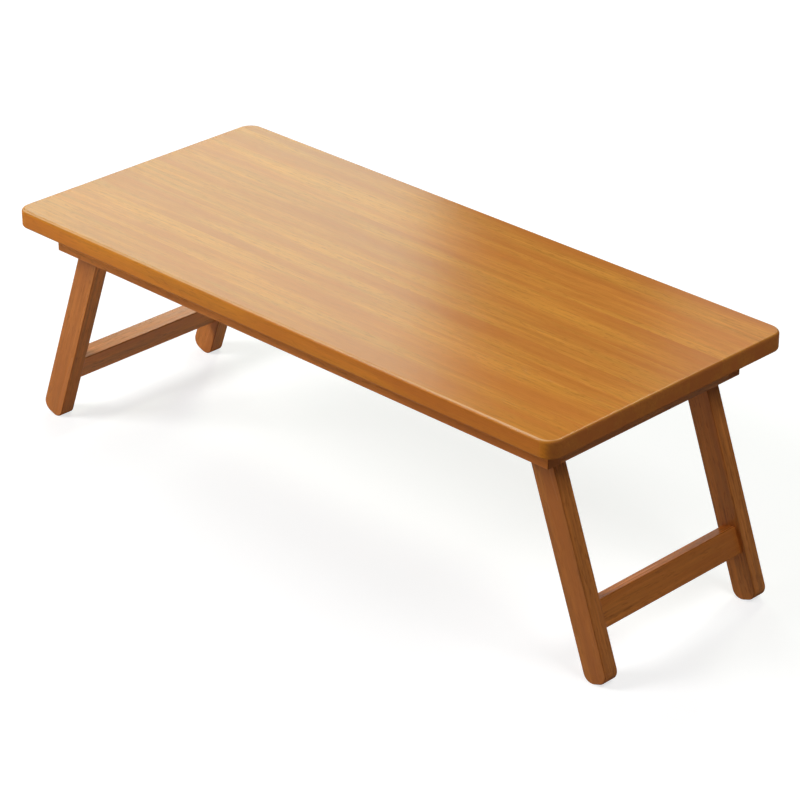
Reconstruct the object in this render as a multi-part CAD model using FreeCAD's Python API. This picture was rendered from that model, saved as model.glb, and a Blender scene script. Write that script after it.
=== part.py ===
import FreeCAD, Part
import math
import os

# Driving dimensions, in millimetres and degrees.
# X runs along the table, Y across it (front is minus Y), Z up from the floor.

# Tabletop
table_height = 317.0
top_length = 900.0
top_width = 400.0
top_thickness = 23.0
top_corner_radius = 20.0
top_upper_round = 4.0
top_lower_round = 3.0

# Apron of four rails
apron_height = 35.0
apron_inset = 36.0               # tabletop edge to the outer face of a rail
rail_thickness = 21.0
rail_arris_round = 1.5

# Leg frames
leg_splay = 20.0                 # out of upright, towards the end of the table
leg_thickness = 21.0             # across the table
leg_arris_round = 1.5
fold_clearance = 0.5             # folded leg to the tabletop, and to the apron's lower edge
swing_clearance = 2.0            # head of the leg to the end rail
stop_clearance = 0.2             # open leg to its bevelled seat on the end rail
foot_round = 13.0                # the two corners of the square-cut foot
sole_depth = 0.6                 # planed off the inner one to make it stand flat
stretcher_width = 34.0           # along the leg
stretcher_thickness = 21.0
stretcher_height = 72.5          # floor to the middle of the stretcher
stretcher_arris_round = 1.5

# Pivot bolts
shoulder_diameter = 8.0
pivot_clearance = 0.05           # radial, shoulder in the leg's bore
bolt_thread_diameter = 6.0
bolt_thread_length = 11.0
bolt_end_chamfer = 0.8
bolt_head_diameter = 14.0
bolt_head_height = 4.4
bolt_head_round = 3.0
bolt_socket_width = 5.0          # across the flats
bolt_socket_depth = 2.6
thread_clearance = 0.1           # radial, a plain cylinder stands in for the thread

# Washers and inserts of the pivots
washer_clearance = 0.2           # radial, washers on the shoulder
rail_washer_diameter = 24.0
rail_washer_thickness = 1.5
leg_washer_diameter = 20.0
leg_washer_thickness = 1.2
spring_washer_diameter = 16.0
spring_washer_stock = 0.8
spring_washer_rise = 0.6         # height of its cone
insert_diameter = 10.0
insert_length = 13.0
insert_chamfer = 0.6
insert_clearance = 0.05          # radial, insert in the rail
insert_hole_spare = 1.0          # hole deeper than the insert

# Dowels
dowel_diameter = 8.0
dowel_chamfer = 1.0
dowel_clearance = 0.05           # radial, glue line
dowel_hole_spare = 1.0           # hole deeper than the dowel's end
rail_dowel_length = 34.0
rail_dowel_bite = 13.0           # length inside the long rail
rail_dowel_spacing = 17.0
stretcher_dowel_length = 36.0
stretcher_dowel_bite = 14.0      # length inside the leg
stretcher_dowel_spacing = 17.0

# Screws that hold the apron to the tabletop
screw_length = 35.0              # under the head
screw_bite = 14.0                # length inside the tabletop
screw_diameter = 4.0
screw_point_length = 5.0
screw_point_diameter = 1.0
screw_head_diameter = 8.0
screw_head_height = 2.6
screw_head_round = 1.0
screw_slot_length = 4.4
screw_slot_width = 1.0
screw_slot_depth = 1.4
screw_clearance = 0.1            # screw in its holes, all round
screw_access_clearance = 0.5     # radial, head in its counterbore
long_rail_screws = 4
long_rail_screw_margin = 104.0   # end of the apron to the first screw
end_rail_screws = 2
end_rail_screw_margin = 72.0     # outer face of the long rail to the first screw

# Sizes that follow from these
splay = math.radians(leg_splay)
leg_width = apron_height - 2 * fold_clearance
leg_half = leg_width / 2
top_under = table_height - top_thickness
apron_under = top_under - apron_height
apron_middle = top_under - apron_height / 2
apron_half_length = top_length / 2 - apron_inset
apron_half_width = top_width / 2 - apron_inset
end_rail_inner = apron_half_length - rail_thickness
long_rail_inner = apron_half_width - rail_thickness
long_rail_middle = apron_half_width - rail_thickness / 2

pivot_x = end_rail_inner - leg_half - swing_clearance
pivot_z = apron_middle
leg_outer = long_rail_inner - rail_washer_thickness
leg_inner = leg_outer - leg_thickness
stretcher_reach = (pivot_z - stretcher_height) / math.cos(splay)

# The foot stands on the round of its inner corner, and that sets the leg's length from pivot to end
sole_centre_out = foot_round - leg_half
sole_centre_z = foot_round - sole_depth
sole_reach = (pivot_z - sole_centre_z + sole_centre_out * math.sin(splay)) / math.cos(splay)
leg_length = sole_reach + foot_round

# The bevel leaves the end rail this much of its lower face
seat_out = leg_half + stop_clearance
seat_foot_x = pivot_x + seat_out / math.cos(splay) + (pivot_z - apron_under) * math.tan(splay)
end_rail_middle = (max(end_rail_inner, seat_foot_x) + apron_half_length) / 2

shoulder_radius = shoulder_diameter / 2
washer_bore = shoulder_radius + washer_clearance
spring_washer_height = spring_washer_stock + spring_washer_rise
bolt_head_seat = leg_inner - leg_washer_thickness - spring_washer_height
shoulder_length = long_rail_inner - bolt_head_seat
screw_head_seat = top_under + screw_bite - screw_length

sides = {"left": -1, "right": 1}
faces = {"front": -1, "rear": 1}


def vec(x, y, z):
    return FreeCAD.Vector(x, y, z)


def near(a, b):
    return abs(a - b) < 1e-4


# Lower end of a span that is given by its distances from the table's middle
def low_end(sign, inner, outer):
    return min(sign * inner, sign * outer)


def fillet_where(shape, radius, test):
    edges = [e for e in shape.Edges if test(e.valueAt((e.FirstParameter + e.LastParameter) / 2))]
    return shape.makeFillet(radius, edges)


def polygon_face(points):
    return Part.Face(Part.makePolygon(points + points[:1]))


# Solid of revolution about Z from an outline of radius and height
def turned(outline):
    return polygon_face([vec(r, 0, z) for r, z in outline]).revolve(vec(0, 0, 0), vec(0, 0, 1), 360)


def save(node, shape):
    shape.exportStep("parts/" + node + ".step")


# Tabletop: a board with rounded corners, softened edges and blind holes for the screws
def make_tabletop():
    x = top_length / 2
    y = top_width / 2
    board = Part.makeBox(top_length, top_width, top_thickness, vec(-x, -y, top_under))
    board = fillet_where(board, top_corner_radius, lambda p: near(abs(p.x), x) and near(abs(p.y), y))
    board = fillet_where(board, top_upper_round, lambda p: near(p.z, table_height))
    board = fillet_where(board, top_lower_round, lambda p: near(p.z, top_under))
    radius = screw_diameter / 2 + screw_clearance
    depth = screw_bite + screw_clearance
    return board.cut([Part.makeCylinder(radius, depth, place) for place in screw_places(top_under)])


# The screws go up through the rails at these places
def screw_places(z):
    long_first = apron_half_length - long_rail_screw_margin
    long_step = 2 * long_first / (long_rail_screws - 1)
    end_first = apron_half_width - end_rail_screw_margin
    end_step = 2 * end_first / (end_rail_screws - 1)
    places = []
    for sign in (-1, 1):
        for i in range(long_rail_screws):
            places.append(vec(i * long_step - long_first, sign * long_rail_middle, z))
        for i in range(end_rail_screws):
            places.append(vec(sign * end_rail_middle, i * end_step - end_first, z))
    return places


def screw_holes():
    holes = []
    for place in screw_places(apron_under):
        access = screw_head_diameter / 2 + screw_access_clearance
        holes.append(Part.makeCylinder(screw_diameter / 2 + screw_clearance, apron_height, place))
        holes.append(Part.makeCylinder(access, screw_head_seat - apron_under, place))
    return holes


def make_screw(place):
    radius = screw_diameter / 2
    head = Part.makeCylinder(screw_head_diameter / 2, screw_head_height, vec(0, 0, -screw_head_height))
    head = fillet_where(head, screw_head_round, lambda p: near(p.z, -screw_head_height))
    for length, width in ((screw_slot_length, screw_slot_width), (screw_slot_width, screw_slot_length)):
        corner = vec(-length / 2, -width / 2, -screw_head_height)
        head = head.cut(Part.makeBox(length, width, screw_slot_depth, corner))
    point_start = screw_length - screw_point_length
    shank = Part.makeCylinder(radius, point_start)
    point = Part.makeCone(radius, screw_point_diameter / 2, screw_point_length, vec(0, 0, point_start))
    screw = head.fuse([shank, point]).removeSplitter()
    screw.translate(place)
    return screw


# Dowels lie along Y across a seam, with their bite on its outer side
def make_dowels(places, seam, bite, length):
    dowels = []
    for x, face, z in places:
        start = vec(x, low_end(face, seam + bite - length, seam + bite), z)
        dowel = Part.makeCylinder(dowel_diameter / 2, length, start, vec(0, 1, 0))
        dowels.append(dowel.makeChamfer(dowel_chamfer, [e for e in dowel.Edges if e.Closed]))
    return Part.makeCompound(dowels)


def dowel_holes(places, seam, bite, length):
    inner = seam + bite - length - dowel_hole_spare
    outer = seam + bite + dowel_hole_spare
    radius = dowel_diameter / 2 + dowel_clearance
    return [Part.makeCylinder(radius, outer - inner, vec(x, low_end(face, inner, outer), z), vec(0, 1, 0))
            for x, face, z in places]


# Corner joints of the apron
def rail_joint():
    places = [(side * end_rail_middle, face, apron_middle + level * rail_dowel_spacing / 2)
              for side in sides.values() for face in faces.values() for level in (-1, 1)]
    return places, long_rail_inner, rail_dowel_bite, rail_dowel_length


# Front and rear rails run the whole length of the apron and carry the pivots' inserts
def make_long_rail(face):
    x = apron_half_length
    y = low_end(face, long_rail_inner, apron_half_width)
    rail = Part.makeBox(2 * x, rail_thickness, apron_height, vec(-x, y, apron_under))

    def exposed(p):
        upright = near(abs(p.x), x) and near(abs(p.y), apron_half_width)
        lower = near(p.z, apron_under) and not near(abs(p.y), long_rail_inner)
        return upright or lower

    rail = fillet_where(rail, rail_arris_round, exposed)
    radius = insert_diameter / 2 + insert_clearance
    depth = insert_length + insert_hole_spare
    mouths = [vec(side * pivot_x, face * long_rail_inner, pivot_z) for side in sides.values()]
    insert_holes = [Part.makeCylinder(radius, depth, mouth, vec(0, face, 0)) for mouth in mouths]
    return rail.cut(insert_holes + screw_holes() + dowel_holes(*rail_joint()))


# End rails fit between the long ones, bevelled inside to seat the open legs
def make_end_rail(side):
    y = long_rail_inner
    x = low_end(side, end_rail_inner, apron_half_length)
    rail = Part.makeBox(rail_thickness, 2 * y, apron_height, vec(x, -y, apron_under))
    rail = fillet_where(rail, rail_arris_round,
                        lambda p: near(p.z, apron_under) and near(abs(p.x), apron_half_length))
    leg_room = frame_block(side, -leg_length, leg_length, seat_out - leg_length, seat_out, y)
    return rail.cut([leg_room] + screw_holes() + dowel_holes(*rail_joint()))


# Point of a leg frame: how far down the leg from its pivot, and how far out from its middle line
def frame_point(side, along, out, y):
    x = pivot_x + along * math.sin(splay) + out * math.cos(splay)
    z = pivot_z - along * math.cos(splay) + out * math.sin(splay)
    return vec(side * x, y, z)


# Straight block that leans with a leg frame and spans the table's middle
def frame_block(side, along_from, along_to, out_from, out_to, half_span):
    corners = [(along_from, out_from), (along_to, out_from), (along_to, out_to), (along_from, out_to)]
    section = polygon_face([frame_point(side, along, out, -half_span) for along, out in corners])
    return section.extrude(vec(0, 2 * half_span, 0))


# Joints between a stretcher and its two legs
def stretcher_joint(side):
    places = []
    for level in (-1, 1):
        centre = frame_point(side, stretcher_reach + level * stretcher_dowel_spacing / 2, 0, 0)
        places += [(centre.x, face, centre.z) for face in faces.values()]
    return places, leg_inner, stretcher_dowel_bite, stretcher_dowel_length


# Leg: round head about the pivot, straight blade, square-cut foot with round corners and a planed sole
def make_leg(side, face):
    y = low_end(face, leg_inner, leg_outer)
    head_out = frame_point(side, 0, leg_half, y)
    head_top = frame_point(side, -leg_half, 0, y)
    head_in = frame_point(side, 0, -leg_half, y)
    foot_out = frame_point(side, leg_length, leg_half, y)
    foot_in = frame_point(side, leg_length, -leg_half, y)
    outline = Part.Wire([
        Part.LineSegment(head_out, foot_out).toShape(),
        Part.LineSegment(foot_out, foot_in).toShape(),
        Part.LineSegment(foot_in, head_in).toShape(),
        Part.Arc(head_in, head_top, head_out).toShape(),
    ])
    leg = Part.Face(outline).extrude(vec(0, leg_thickness, 0))
    leg = fillet_where(leg, foot_round, lambda p: near(p.y, y + leg_thickness / 2) and p.z < pivot_z / 2)
    leg = fillet_where(leg, leg_arris_round, lambda p: near(p.y, y) or near(p.y, y + leg_thickness))
    floor = Part.makeBox(2 * leg_width, leg_thickness, leg_width, vec(foot_in.x - leg_width, y, -leg_width))
    bore = Part.makeCylinder(shoulder_radius + pivot_clearance, leg_thickness,
                             vec(side * pivot_x, y, pivot_z), vec(0, 1, 0))
    return leg.cut([floor, bore] + dowel_holes(*stretcher_joint(side)))


# Stretcher: cut between the two legs of its frame and leaning with them
def make_stretcher(side):
    half_width = stretcher_width / 2
    half_thickness = stretcher_thickness / 2
    bar = frame_block(side, stretcher_reach - half_width, stretcher_reach + half_width,
                      -half_thickness, half_thickness, leg_inner)
    bar = fillet_where(bar, stretcher_arris_round, lambda p: near(p.y, 0))
    return bar.cut(dowel_holes(*stretcher_joint(side)))


# Shoulder bolt: rounded socket head, bearing shoulder, then the thread as a plain cylinder
def make_bolt():
    head = Part.makeCylinder(bolt_head_diameter / 2, bolt_head_height, vec(0, 0, -bolt_head_height))
    head = fillet_where(head, bolt_head_round, lambda p: near(p.z, -bolt_head_height))
    thread_radius = bolt_thread_diameter / 2 - thread_clearance
    thread_end = shoulder_length + bolt_thread_length
    shank = turned([
        (0, 0),
        (shoulder_radius, 0),
        (shoulder_radius, shoulder_length),
        (thread_radius, shoulder_length),
        (thread_radius, thread_end - bolt_end_chamfer),
        (thread_radius - bolt_end_chamfer, thread_end),
        (0, thread_end),
    ])
    corner = bolt_socket_width / math.sqrt(3)
    angles = [math.radians(a) for a in range(0, 360, 60)]
    points = [vec(corner * math.cos(a), corner * math.sin(a), -bolt_head_height) for a in angles]
    socket = polygon_face(points).extrude(vec(0, 0, bolt_socket_depth))
    return head.fuse(shank).removeSplitter().cut(socket)


def make_insert():
    outer = insert_diameter / 2
    inner = bolt_thread_diameter / 2
    return turned([
        (inner, 0),
        (outer, 0),
        (outer, insert_length - insert_chamfer),
        (outer - insert_chamfer, insert_length),
        (inner, insert_length),
    ])


def make_flat_washer(diameter, thickness):
    outer = diameter / 2
    return turned([(washer_bore, 0), (outer, 0), (outer, thickness), (washer_bore, thickness)])


def make_spring_washer():
    outer = spring_washer_diameter / 2
    return turned([
        (washer_bore, 0),
        (outer, spring_washer_rise),
        (outer, spring_washer_height),
        (washer_bore, spring_washer_stock),
    ])


# A pivot's pieces in their order along Y, each with its distance from the table's middle
def pivot_pieces():
    return {
        "pivot_bolt": (make_bolt(), bolt_head_seat),
        "spring_washer": (make_spring_washer(), bolt_head_seat),
        "leg_washer": (make_flat_washer(leg_washer_diameter, leg_washer_thickness),
                       leg_inner - leg_washer_thickness),
        "rail_washer": (make_flat_washer(rail_washer_diameter, rail_washer_thickness), leg_outer),
        "threaded_insert": (make_insert(), long_rail_inner),
    }


os.makedirs("parts", exist_ok=True)

save("tabletop", make_tabletop())
save("top_screws", Part.makeCompound([make_screw(place) for place in screw_places(screw_head_seat)]))
save("rail_dowels", make_dowels(*rail_joint()))

for face_name, face in faces.items():
    save(face_name + "_rail", make_long_rail(face))

for side_name, side in sides.items():
    save(side_name + "_end_rail", make_end_rail(side))
    save(side_name + "_stretcher", make_stretcher(side))
    save(side_name + "_stretcher_dowels", make_dowels(*stretcher_joint(side)))
    for face_name, face in faces.items():
        corner_name = side_name + "_" + face_name
        save(corner_name + "_leg", make_leg(side, face))
        for piece_name, (piece, start) in pivot_pieces().items():
            turn = FreeCAD.Rotation(vec(0, 0, 1), vec(0, face, 0))
            piece.Placement = FreeCAD.Placement(vec(side * pivot_x, face * start, pivot_z), turn)
            save(corner_name + "_" + piece_name, piece)

print("leg width", round(leg_width, 2), "pivot at", round(pivot_x, 2), round(pivot_z, 2))
print("sole", round(frame_point(1, sole_reach, sole_centre_out, 0).x, 2), "from the middle")
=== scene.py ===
import math

import bpy
from mathutils import Matrix, Vector

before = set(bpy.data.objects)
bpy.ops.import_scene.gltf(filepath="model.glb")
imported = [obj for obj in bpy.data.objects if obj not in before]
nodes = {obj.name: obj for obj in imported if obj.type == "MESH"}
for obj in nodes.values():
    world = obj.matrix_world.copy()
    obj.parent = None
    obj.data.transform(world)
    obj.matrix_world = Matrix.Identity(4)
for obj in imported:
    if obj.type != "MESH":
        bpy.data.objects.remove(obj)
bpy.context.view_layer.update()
bpy.context.scene.view_settings.view_transform = "Standard"

white = (1.0, 1.0, 1.0, 1.0)
noiseSpan = (0.3, 0.7)  # where most values of a noise lie
noiseMiddle = (0.5, 0.5, 0.5)


# Small helpers for node trees

def feed(tree, socket, value):
    if isinstance(value, bpy.types.NodeSocket):
        tree.links.new(value, socket)
    else:
        socket.default_value = value


def mathNode(tree, operation, first, *others):
    for other in others or (0.0,):  # a floor or a root takes only the first
        node = tree.nodes.new("ShaderNodeMath")
        node.operation = operation
        feed(tree, node.inputs[0], first)
        feed(tree, node.inputs[1], other)
        first = node.outputs[0]
    return first


def vectorNode(tree, operation, first, second=(0.0, 0.0, 0.0)):
    node = tree.nodes.new("ShaderNodeVectorMath")
    node.operation = operation
    feed(tree, node.inputs[0], first)
    feed(tree, node.inputs[1], second)
    return node.outputs["Vector"]


def scaled(tree, vector, factor):
    result = vectorNode(tree, "SCALE", vector)
    feed(tree, result.node.inputs["Scale"], factor)
    return result


def split(tree, vector):
    node = tree.nodes.new("ShaderNodeSeparateXYZ")
    feed(tree, node.inputs[0], vector)
    return node.outputs


def mixColour(tree, factor, under, over, blend="MIX"):
    node = tree.nodes.new("ShaderNodeMix")
    node.data_type = "RGBA"
    node.blend_type = blend
    feed(tree, node.inputs[0], factor)
    for socket, colour in ((node.inputs[6], under), (node.inputs[7], over)):  # the node's two colours
        feed(tree, socket, colour if isinstance(colour, bpy.types.NodeSocket) else (*colour, 1.0))
    return node.outputs[2]


def remap(tree, value, span, result=(0.0, 1.0)):
    node = tree.nodes.new("ShaderNodeMapRange")
    node.interpolation_type = "SMOOTHSTEP"
    for index, setting in enumerate((value, *span, *result)):
        feed(tree, node.inputs[index], setting)
    return node.outputs[0]


def noise(tree, point, stretch, detail=2.0, rough=0.5):
    node = tree.nodes.new("ShaderNodeTexNoise")
    feed(tree, node.inputs["Vector"], vectorNode(tree, "MULTIPLY", point, stretch))
    node.inputs["Scale"].default_value = 1.0
    node.inputs["Detail"].default_value = detail
    node.inputs["Roughness"].default_value = rough
    return node.outputs[0]


def turned(tree, vector, degrees, shift=(0.0, 0.0, 0.0)):
    node = tree.nodes.new("ShaderNodeMapping")
    feed(tree, node.inputs["Vector"], vector)
    node.inputs["Rotation"].default_value = [math.radians(angle) for angle in degrees]
    node.inputs["Location"].default_value = shift
    return node.outputs["Vector"]


def rolled(tree, vector, angle):
    node = tree.nodes.new("ShaderNodeVectorRotate")
    node.rotation_type = "X_AXIS"
    feed(tree, node.inputs["Vector"], vector)
    feed(tree, node.inputs["Angle"], angle)
    return node.outputs["Vector"]


def addRelief(tree, shader, height, depth, strength):
    relief = tree.nodes.new("ShaderNodeBump")
    relief.inputs["Strength"].default_value = strength
    relief.inputs["Distance"].default_value = depth
    feed(tree, relief.inputs["Height"], height)
    feed(tree, shader.inputs["Normal"], relief.outputs[0])


def newMaterial(name):
    material = bpy.data.materials.new(name)
    material.use_nodes = True
    return material, material.node_tree, material.node_tree.nodes["Principled BSDF"]


def ownCoords(tree):
    return tree.nodes.new("ShaderNodeTexCoord").outputs


def dress(nodeName, material):
    nodes[nodeName].data.materials.clear()
    nodes[nodeName].data.materials.append(material)


# The honey stain of all the wood, in linear colours, with the grain along the piece's own X; it also
# carries painted light and shade for sides, arrises and undersides, and a painted highlight on the
# upper arrises
honeyStain = {
    "reddish": (0.540, 0.180, 0.025),
    "golden": (0.615, 0.248, 0.033),
    "pore": (0.28, 0.078, 0.011),      # fine dark dashes, most of them in the golden bands
    "sideStainAndPaintedLight": (0.95, 0.82, 0.56),   # sides come out redder than the face: partly the stain, partly painted shade
    "endGrain": (0.29, 0.088, 0.028),  # ends drink more stain
    "tone": 1.0,                       # darker or lighter piece of wood; the values set on the rails and frame pieces are painted light and shade
    "seedShift": (1.7, 0.9, 2.3),      # metres in the log from one seed to the next

    # Noises, by their features per metre along and across the grain
    "bands": {"stretch": (3.0, 34.0, 34.0), "detail": 3.0, "rough": 0.55},
    "streaks": {"stretch": (7.0, 190.0, 90.0)},
    "lines": {"stretch": (11.0, 420.0, 200.0), "detail": 1.0},
    "pores": {"stretch": (75.0, 420.0, 420.0), "detail": 1.0},
    "fibres": {"stretch": (60.0, 2600.0, 1500.0)},
    "patches": {"stretch": (2.5, 7.0, 7.0), "detail": 1.0},
    "drift": {"stretch": (2.5, 9.0, 9.0)},
    "wander": 0.003,                   # metres that the grain strays sideways

    # The span of a noise in which a thing comes in, and how much it does at the span's two ends
    "bandSpan": (0.35, 0.65),          # from reddish to golden
    "fineSpan": (0.40, 0.60),          # fine grain, less of it in the reddish bands
    "fineShare": (0.3, 1.0),
    "poreSpan": (0.56, 0.68),
    "poreDepth": 0.25,
    "toneSpan": (0.28, 0.72),
    "streakRange": (0.92, 1.07),
    "lineRange": (0.94, 1.06),
    "fibreRange": (0.94, 1.05),
    "patchRange": (0.97, 1.03),

    # How far a surface faces one way, from where a thing starts to where it is full
    "sideFacing": (0.9, 0.3),
    "endFacing": (0.45, 1.05),
    "endWeight": 1.3,
    "endRounding": 0.3,                # taken off the weight where the end rounds into the face
    "endShare": 0.60,
    "underShadeFacing": (-0.35, -0.8),
    "underShade": 0.60,                 # painted shade: faces turned down come out darker

    "gloss": (0.14, 0.17),             # roughness, low and high
    "sideDull": 0.30,                  # added to it on the sides
    "sideDullFacing": (0.6, 0.2),
    "endDull": 0.35,                   # and towards the ends
    "endDullFacing": (0.05, 0.3),
    "underDull": 0.45,                 # and where the lacquer is thin, underneath
    "underDullFacing": (-0.1, -0.5),
    "shine": 0.12,                     # the lacquer's specular level
    "fibreDepth": 0.00007,             # metres
    "fibreRelief": 0.5,
}


# Where a spot of the piece lies in the log it was cut from
def grainPoint(tree, place, look):
    shift = [look["seed"] * step for step in look["seedShift"]]
    point = turned(tree, place, look["turn"], shift)
    roll = math.radians(look["roll"])
    staveTone = 1.0
    if "staveWidth" in look:  # glued staves: each has its own grain, roll and tone
        across = mathNode(tree, "DIVIDE", split(tree, place)["Y"], look["staveWidth"])
        stave = mathNode(tree, "FLOOR", mathNode(tree, "ADD", across, look["staveShift"]))
        chance = tree.nodes.new("ShaderNodeTexWhiteNoise")
        chance.noise_dimensions = "1D"
        feed(tree, chance.inputs["W"], stave)
        point = vectorNode(tree, "ADD", point, chance.outputs["Color"])
        staveTone = remap(tree, chance.outputs["Value"], (0.0, 1.0), look["staveRange"])
        roll = remap(tree, chance.outputs["Value"], (0.0, 1.0), (-roll, roll))
    point = rolled(tree, point, roll)

    # The grain strays a little along its way
    drift = noise(tree, point, **look["drift"]).node.outputs["Color"]
    drift = vectorNode(tree, "SUBTRACT", drift, noiseMiddle)
    drift = vectorNode(tree, "MULTIPLY", drift, (0.0, 2 * look["wander"], 2 * look["wander"]))
    return vectorNode(tree, "ADD", point, drift), staveTone


# The noises there, and how much fine grain and open pore they leave to see
def readGrain(tree, point, look):
    kinds = ("bands", "streaks", "lines", "pores", "fibres", "patches")
    grain = {kind: noise(tree, point, **look[kind]) for kind in kinds}
    grain["fine"] = remap(tree, grain["bands"], look["fineSpan"], look["fineShare"])
    pores = remap(tree, grain["pores"], look["poreSpan"])
    grain["openPores"] = mathNode(tree, "MULTIPLY", pores, grain["fine"])
    return grain


# Reddish and golden bands with dark pores, and the tones laid over them
def grainColour(tree, grain, staveTone, look):
    golden = remap(tree, grain["bands"], look["bandSpan"])
    colour = mixColour(tree, golden, look["reddish"], look["golden"])
    darkPores = mathNode(tree, "MULTIPLY", grain["openPores"], look["poreDepth"])
    colour = mixColour(tree, darkPores, colour, look["pore"])
    streakTone = remap(tree, grain["streaks"], look["toneSpan"], look["streakRange"])
    lineTone = remap(tree, grain["lines"], look["toneSpan"], look["lineRange"])
    fine = mathNode(tree, "SUBTRACT", mathNode(tree, "MULTIPLY", streakTone, lineTone), 1.0)
    fineTone = mathNode(tree, "ADD", mathNode(tree, "MULTIPLY", fine, grain["fine"]), 1.0)
    fibreTone = remap(tree, grain["fibres"], noiseSpan, look["fibreRange"])
    patchTone = remap(tree, grain["patches"], noiseSpan, look["patchRange"])
    tone = mathNode(tree, "MULTIPLY", fineTone, look["tone"], fibreTone, patchTone, staveTone)
    return scaled(tree, colour, tone)


# The way a surface faces, from the piece's own normals: as its flat side does, as its ends do, and up
def wayFacing(tree, normal, look):
    along = split(tree, vectorNode(tree, "ABSOLUTE", turned(tree, normal, look["turn"])))
    return {"flat": along[look["flatAxis"]], "end": along["X"], "up": split(tree, normal)["Z"]}


# The stain takes differently on sides, ends, arrises and underneath, and painted light and shade are
# laid there too: on sides, on arrises as a dark line and as a pale highlight, and underneath
def stainByFacing(tree, colour, facing, look):
    flat, end, up = facing["flat"], facing["end"], facing["up"]
    # side tint: stain and painted shade on the top's sides, painted light and shade on some frame
    # pieces' side faces
    sideShare = remap(tree, flat, look["sideFacing"])
    colour = mixColour(tree, sideShare, colour, look["sideStainAndPaintedLight"], "MULTIPLY")
    flatSquare = mathNode(tree, "MULTIPLY", flat, flat)
    rounding = mathNode(tree, "MULTIPLY", flatSquare, look["endRounding"])
    weight = mathNode(tree, "SUBTRACT", look["endWeight"], rounding)
    towardsEnd = mathNode(tree, "MULTIPLY", weight, end)
    endShare = mathNode(tree, "MULTIPLY", remap(tree, towardsEnd, look["endFacing"]), look["endShare"])
    colour = mixColour(tree, endShare, colour, look["endGrain"])
    if "arrisStainAndShade" in look:  # painted shade along the arrises; an arris faces neither along the flat nor square to it
        squareOff = mathNode(tree, "SQRT", mathNode(tree, "SUBTRACT", 1.0, flatSquare))
        arrisStainAndShade = remap(tree, mathNode(tree, "MAXIMUM", flat, squareOff), look["arrisShadeFacing"])
        arrisShadeShare = mathNode(tree, "MULTIPLY", arrisStainAndShade, look["arrisShadeShare"])
        colour = mixColour(tree, arrisShadeShare, colour, look["arrisStainAndShade"])
    if "rubbedHighlight" in look:  # a painted highlight with a little wear: only the upper arrises, and not those round the ends
        upper = remap(tree, up, look["rubbedHighlightUp"])
        edge = remap(tree, flat, look["rubbedHighlightFlat"])
        lengthwise = remap(tree, end, look["rubbedHighlightEnd"])
        rubbedHighlight = mathNode(tree, "MULTIPLY", upper, edge, lengthwise, look["rubbedHighlightShare"])
        colour = mixColour(tree, rubbedHighlight, colour, look["rubbedHighlight"])
    # painted shade: darker where the surface faces down
    return scaled(tree, colour, remap(tree, up, look["underShadeFacing"], (1.0, look["underShade"])))


# Glossy on the flat sides, duller on the others, at the ends and underneath
def lacquerGloss(tree, streaks, facing, look):
    gloss = remap(tree, streaks, noiseSpan, look["gloss"])
    sideDull = remap(tree, facing["flat"], look["sideDullFacing"], (0.0, look["sideDull"]))
    underDull = remap(tree, facing["up"], look["underDullFacing"], (0.0, look["underDull"]))
    endDull = remap(tree, facing["end"], look["endDullFacing"], (0.0, look["endDull"]))
    return mathNode(tree, "ADD", gloss, sideDull, underDull, endDull)


def dressWood(nodeName, piece):
    look = {**honeyStain, **piece}
    material, tree, shader = newMaterial(nodeName + "Wood")
    coords = ownCoords(tree)
    point, staveTone = grainPoint(tree, coords["Object"], look)
    grain = readGrain(tree, point, look)
    facing = wayFacing(tree, coords["Normal"], look)
    colour = grainColour(tree, grain, staveTone, look)
    feed(tree, shader.inputs["Base Color"], stainByFacing(tree, colour, facing, look))
    feed(tree, shader.inputs["Roughness"], lacquerGloss(tree, grain["streaks"], facing, look))
    shader.inputs["Specular IOR Level"].default_value = look["shine"]
    height = mathNode(tree, "SUBTRACT", grain["fibres"], grain["openPores"])
    addRelief(tree, shader, height, look["fibreDepth"], look["fibreRelief"])
    dress(nodeName, material)


# Tabletop: one board of glued staves, grain along the length
tabletopBoard = {
    "turn": (0.0, 0.0, 0.0),
    "roll": 40.0,
    "seed": 3.1,
    "flatAxis": "Z",
    "staveWidth": 0.0571,
    "staveShift": 100.5,           # the half sets one stave on the middle line, the rest picks the draw
    "staveRange": (0.975, 1.025),
    "rubbedHighlight": (0.80, 0.51, 0.27),  # pale line on the upper arrises along the grain: a little worn stain, mostly a painted highlight
    "rubbedHighlightShare": 0.75,
    "rubbedHighlightUp": (0.64, 0.86),
    "rubbedHighlightFlat": (0.99, 0.93),
    "rubbedHighlightEnd": (0.45, 0.15),
}
dressWood("tabletop", tabletopBoard)
print("tabletop dressed")


# The frame's wood: the same stain, redder and rubbed to a lower shine, with painted shade along its
# arrises
frameStain = {
    "reddish": (0.470, 0.144, 0.027),
    "golden": (0.515, 0.174, 0.034),
    "pore": (0.26, 0.072, 0.010),
    "sideStainAndPaintedLight": (1.0, 1.0, 1.0),
    "arrisStainAndShade": (0.22, 0.060, 0.008),  # arrises darker: a little stain, mostly painted shade for the dark line their rounding shows
    "arrisShadeShare": 0.55,
    "arrisShadeFacing": (0.985, 0.80),
    "streakRange": (0.86, 1.12),
    "lineRange": (0.90, 1.09),
    "poreDepth": 0.40,
    # painted shade underneath, less than on the top
    "underShade": 0.80,
    "gloss": (0.22, 0.28),
    "sideDull": 0.0,
    "underDull": 0.30,
    "shine": 0.10,
    "flatAxis": "Y",
}


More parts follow.
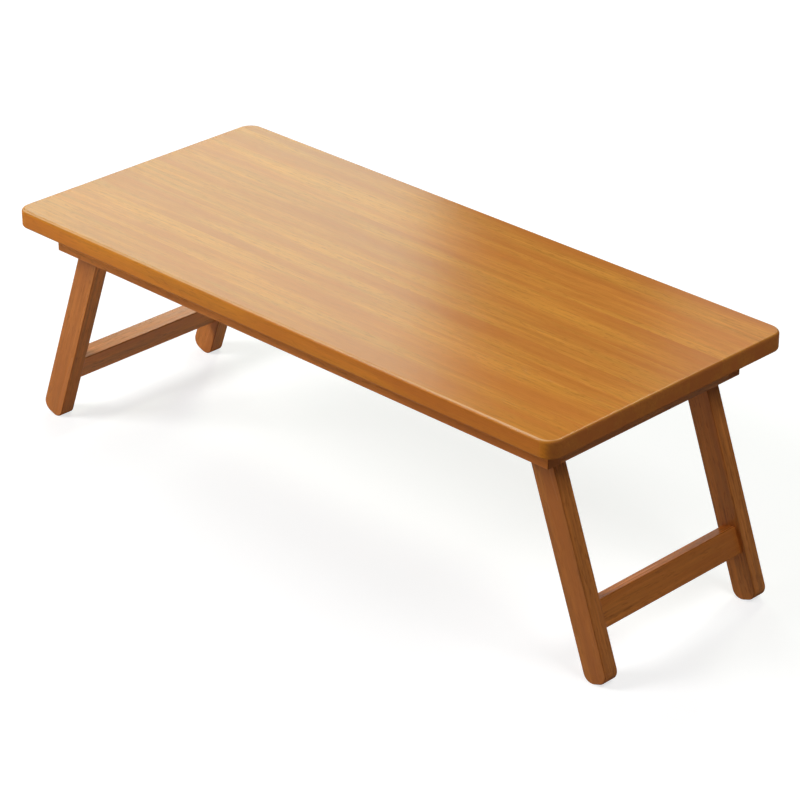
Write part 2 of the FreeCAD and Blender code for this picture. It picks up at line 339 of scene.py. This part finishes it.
# Apron rails: grain along each rail
apronRails = {
    "shine": 0.05,
    "own": {
        # the front rail's tone is painted light, lifting the rail that the top's overhang shades
        "front_rail": {"turn": (0.0, 0.0, 0.0), "roll": 20.0, "seed": 5.3, "tone": 1.27},
        "rear_rail": {"turn": (0.0, 0.0, 0.0), "roll": -35.0, "seed": 7.7},
        "left_end_rail": {"turn": (0.0, 0.0, -90.0), "roll": 30.0, "seed": 9.2},
        "right_end_rail": {"turn": (0.0, 0.0, -90.0), "roll": -15.0, "seed": 11.6},
    },
}
for railName, rail in apronRails["own"].items():
    dressWood(railName, {**frameStain, "shine": apronRails["shine"], **rail})
print("apron rails dressed:", len(apronRails["own"]))


# Leg frames: grain down each leg and along each stretcher, most pieces a little lighter or darker, with
# these tones and side tints as painted light and shade
legFrames = {
    "splay": 20.0,      # degrees that the open legs lean
    "legRoll": 25.0,
    "stretcherRoll": 35.0,
    "rollStep": 7.0,    # degrees of roll for each unit of seed
    "firstSeed": 13.0,
    "seedStep": 2.9,
    "own": {
        # painted light on the left frame's side faces and on the whole left stretcher, painted shade on
        # the right front leg with its sides lifted back, a warm painted light on the right stretcher's
        # sides
        "left_front_leg": {"sideStainAndPaintedLight": (1.35, 1.32, 1.25)},
        "left_rear_leg": {"tone": 1.1, "sideStainAndPaintedLight": (1.35, 1.32, 1.25)},
        "left_stretcher": {"tone": 1.55, "sideStainAndPaintedLight": (0.82, 0.84, 0.84), "shine": 0.15},
        "right_front_leg": {"tone": 0.86, "sideStainAndPaintedLight": (1.17, 1.17, 1.17)},
        "right_stretcher": {"tone": 1.05, "sideStainAndPaintedLight": (1.12, 1.08, 0.98), "shine": 0.06},
    },
}


def framePieces(look):
    for side, way in (("left", -1), ("right", 1)):
        for row in ("front", "rear"):
            yield side + "_" + row + "_leg", (0.0, way * (look["splay"] - 90.0), 0.0), look["legRoll"]
        yield side + "_stretcher", (0.0, way * look["splay"], -90.0), look["stretcherRoll"]


seed = legFrames["firstSeed"]
for pieceName, turn, roll in framePieces(legFrames):
    seed += legFrames["seedStep"]
    piece = {"turn": turn, "roll": roll + legFrames["rollStep"] * seed, "seed": seed}
    dressWood(pieceName, {**frameStain, **piece, **legFrames["own"].get(pieceName, {})})
print("leg frames dressed")


# Dowels: plain pale beech with small darker flecks
beechDowels = {
    "pale": (0.66, 0.48, 0.29),
    "fleck": (0.52, 0.35, 0.19),
    "flecks": {"stretch": (300.0, 300.0, 300.0), "detail": 3.0},
    "fleckSpan": (0.4, 0.7),
    "rough": (0.60, 0.75),
    "nodes": ("rail_dowels", "left_stretcher_dowels", "right_stretcher_dowels"),
}


def beech(look):
    material, tree, shader = newMaterial("dowelBeech")
    flecks = noise(tree, ownCoords(tree)["Object"], **look["flecks"])
    colour = mixColour(tree, remap(tree, flecks, look["fleckSpan"]), look["pale"], look["fleck"])
    feed(tree, shader.inputs["Base Color"], colour)
    feed(tree, shader.inputs["Roughness"], remap(tree, flecks, noiseSpan, look["rough"]))
    return material


dowelBeech = beech(beechDowels)
for dowelName in beechDowels["nodes"]:
    dress(dowelName, dowelBeech)
print("dowels dressed")


# Bolts, washers, inserts and screws
pivotMetal = {
    "zincPlate": {
        "bright": (0.62, 0.62, 0.64),
        "dull": (0.46, 0.46, 0.49),
        "rough": (0.24, 0.42),
        "blotches": 260.0,         # features per metre
    },
    "bareBrass": {
        "bright": (0.74, 0.53, 0.22),
        "dull": (0.55, 0.37, 0.15),
        "rough": (0.22, 0.40),
        "blotches": 240.0,
    },
    "dullSpan": (0.45, 0.75),
    "scratches": (40.0, 4.0, 40.0),  # to one blotch
    "scratchDepth": 0.00003,
    "scratchRelief": 1.0,
}


def turnedMetal(name, look):
    metal = look[name]
    material, tree, shader = newMaterial(name)
    point = ownCoords(tree)["Object"]
    blotches = noise(tree, point, [metal["blotches"]] * 3, detail=4.0, rough=0.6)
    scratches = noise(tree, point, [metal["blotches"] * count for count in look["scratches"]])
    shader.inputs["Metallic"].default_value = 1.0
    colour = mixColour(tree, remap(tree, blotches, look["dullSpan"]), metal["bright"], metal["dull"])
    feed(tree, shader.inputs["Base Color"], colour)
    feed(tree, shader.inputs["Roughness"], remap(tree, blotches, noiseSpan, metal["rough"]))
    addRelief(tree, shader, scratches, look["scratchDepth"], look["scratchRelief"])
    return material


zincPlate = turnedMetal("zincPlate", pivotMetal)
bareBrass = turnedMetal("bareBrass", pivotMetal)


# Nylon washers between leg and rail
nylonWasher = {
    "pale": (0.80, 0.78, 0.72),
    "shade": (0.72, 0.69, 0.61),
    "mottle": {"stretch": (180.0, 180.0, 180.0), "detail": 3.0},
    "shadeSpan": (0.35, 0.7),
    "rough": (0.42, 0.55),
}


def nylon(look):
    material, tree, shader = newMaterial("washerNylon")
    mottle = noise(tree, ownCoords(tree)["Object"], **look["mottle"])
    colour = mixColour(tree, remap(tree, mottle, look["shadeSpan"]), look["pale"], look["shade"])
    feed(tree, shader.inputs["Base Color"], colour)
    feed(tree, shader.inputs["Roughness"], remap(tree, mottle, noiseSpan, look["rough"]))
    return material


washerNylon = nylon(nylonWasher)
dress("top_screws", zincPlate)
for side in ("left", "right"):
    for row in ("front", "rear"):
        corner = side + "_" + row
        for hardware in ("_pivot_bolt", "_spring_washer", "_leg_washer"):
            dress(corner + hardware, zincPlate)
        dress(corner + "_threaded_insert", bareBrass)
        dress(corner + "_rail_washer", washerNylon)
print("pivot hardware dressed")


# Floor: white to the eye by its own glow, grey to the light it throws back, and clear from below
paleFloor = {
    "halfWidth": 9.0,
    "seen": (0.42, 0.42, 0.42),
    "bounced": (0.45, 0.45, 0.45),
    "glow": 0.72,
    "rough": 0.9,
}


def seenRays(tree):
    rays = tree.nodes.new("ShaderNodeLightPath").outputs
    kinds = ("Is Camera Ray", "Is Glossy Ray", "Is Transmission Ray")
    return mathNode(tree, "MAXIMUM", *[rays[kind] for kind in kinds])


def makeFloor(look):
    half = look["halfWidth"]
    corners = [(-half, -half, 0), (half, -half, 0), (half, half, 0), (-half, half, 0)]
    mesh = bpy.data.meshes.new("floor")
    mesh.from_pydata(corners, [], [(0, 1, 2, 3)])
    floor = bpy.data.objects.new("floor", mesh)
    bpy.context.scene.collection.objects.link(floor)
    material, tree, shader = newMaterial("floorPaint")
    seen = seenRays(tree)
    feed(tree, shader.inputs["Base Color"], mixColour(tree, seen, look["bounced"], look["seen"]))
    shader.inputs["Roughness"].default_value = look["rough"]
    shader.inputs["Specular IOR Level"].default_value = 0.0
    shader.inputs["Emission Color"].default_value = white
    feed(tree, shader.inputs["Emission Strength"], mathNode(tree, "MULTIPLY", seen, look["glow"]))
    sides = tree.nodes.new("ShaderNodeNewGeometry")
    feed(tree, shader.inputs["Alpha"], mathNode(tree, "SUBTRACT", 1.0, sides.outputs["Backfacing"]))
    mesh.materials.append(material)


makeFloor(paleFloor)
print("floor laid")


# Studio light: a panel on the left that the top mirrors, with its two ends on the floor plan
sidePanel = {
    "rear": (-2.15, 2.32),
    "front": (-2.52, 1.28),
    "low": 1.10,
    "high": 2.90,
    "watts": 26.5,
    "tint": (0.81, 1.0, 0.86),
}

# And soft boxes: a high key and a low fill in front, a strip on the left, others behind and right
softBoxes = {
    "rearTop": {
        "place": (-1.20, 2.54, 3.09),
        "aim": (-0.45, 0.0, 0.1),
        "size": (0.6, 0.6),
        "watts": 41.0,
        "tint": (0.92, 1.0, 0.82),
    },
    "frontKey": {
        "place": (-1.70, -2.20, 2.4),
        "aim": (0.0, 0.0, 0.2),
        "size": (1.2, 1.2),
        "watts": 82.0,
    },
    "frontLow": {
        "place": (-0.50, -2.40, 0.5),
        "aim": (0.0, 0.0, 0.25),
        "size": (1.0, 1.0),
        "watts": 7.0,
    },
    "leftStrip": {
        "place": (-2.00, 0.00, 2.4),
        "aim": (0.0, 0.0, 0.3),
        "size": (3.0, 0.3),
        "watts": 5.0,
    },
    "rearPale": {
        "place": (-1.05, 2.60, 1.75),
        "aim": (0.4, 0.1, 0.3),
        "size": (1.0, 1.4),
        "watts": 4.5,
    },
    "rightHigh": {
        "place": (1.70, -0.10, 2.3),
        "aim": (0.4, 0.0, 0.2),
        "size": (1.0, 1.0),
        "watts": 23.0,
    },
}


def areaLight(name, look, size, axes, place):
    data = bpy.data.lights.new(name, "AREA")
    data.shape = "RECTANGLE"
    data.size, data.size_y = size
    data.energy = look["watts"]
    data.color = look.get("tint", (1.0, 1.0, 1.0))
    lamp = bpy.data.objects.new(name, data)
    lamp.matrix_world = Matrix.Translation(place) @ axes.to_4x4()
    lamp.visible_camera = False
    bpy.context.scene.collection.objects.link(lamp)


def standPanel(name, look):
    rear = Vector((*look["rear"], 0.0))
    front = Vector((*look["front"], 0.0))
    up = Vector((0.0, 0.0, 1.0))
    along = (front - rear).normalized()
    middle = (rear + front) / 2 + up * (look["low"] + look["high"]) / 2
    size = ((front - rear).length, look["high"] - look["low"])
    axes = Matrix((along, up, along.cross(up))).transposed()  # it shines along its own -Z, to the table
    areaLight(name, look, size, axes, middle)


def hangBox(name, look):
    place = Vector(look["place"])
    axes = (Vector(look["aim"]) - place).to_track_quat("-Z", "Y").to_matrix()
    areaLight(name, look, look["size"], axes, place)


standPanel("sidePanel", sidePanel)
for boxName, softBox in softBoxes.items():
    hangBox(boxName, softBox)
print("lights hung")


# Room: grey to the eye, paler near the horizon, with almost no light from it
roomLight = {
    "horizon": 0.30,
    "ceiling": 0.18,
    "climb": (0.18, 0.34),  # from one to the other, as sines of the height above the horizon
    "lightShare": 0.02,
}


def makeRoom(look):
    world = bpy.data.worlds.new("room")
    world.use_nodes = True
    bpy.context.scene.world = world
    tree = world.node_tree
    background = tree.nodes["Background"]
    height = split(tree, ownCoords(tree)["Generated"])["Z"]
    strength = remap(tree, height, look["climb"], (look["horizon"], look["ceiling"]))
    share = mathNode(tree, "MAXIMUM", seenRays(tree), look["lightShare"])
    feed(tree, background.inputs["Strength"], mathNode(tree, "MULTIPLY", strength, share))
    background.inputs["Color"].default_value = white


makeRoom(roomLight)
print("room lit")


# Camera at the photo's angle
photoCamera = {
    "azimuth": 44.723,    # degrees from the front towards the right end
    "elevation": 26.936,
    "distance": 3.7995,   # metres from the point it looks at
    "lookAt": (0.0343, -0.0090, 0.1532),
    "lens": 141.52,
    "sensor": 36.0,
    "clipEnd": 100.0,
}


def makeCamera(look):
    azimuth = math.radians(look["azimuth"])
    elevation = math.radians(look["elevation"])
    level = math.cos(elevation)
    back = Vector((math.sin(azimuth) * level, -math.cos(azimuth) * level, math.sin(elevation)))
    data = bpy.data.cameras.new("photoCamera")
    data.lens = look["lens"]
    data.sensor_width = look["sensor"]
    data.clip_end = look["clipEnd"]
    camera = bpy.data.objects.new("photoCamera", data)
    camera.location = Vector(look["lookAt"]) + back * look["distance"]
    camera.rotation_euler = (-back).to_track_quat("-Z", "Y").to_euler()
    bpy.context.scene.collection.objects.link(camera)
    bpy.context.scene.camera = camera


makeCamera(photoCamera)
print("camera set")
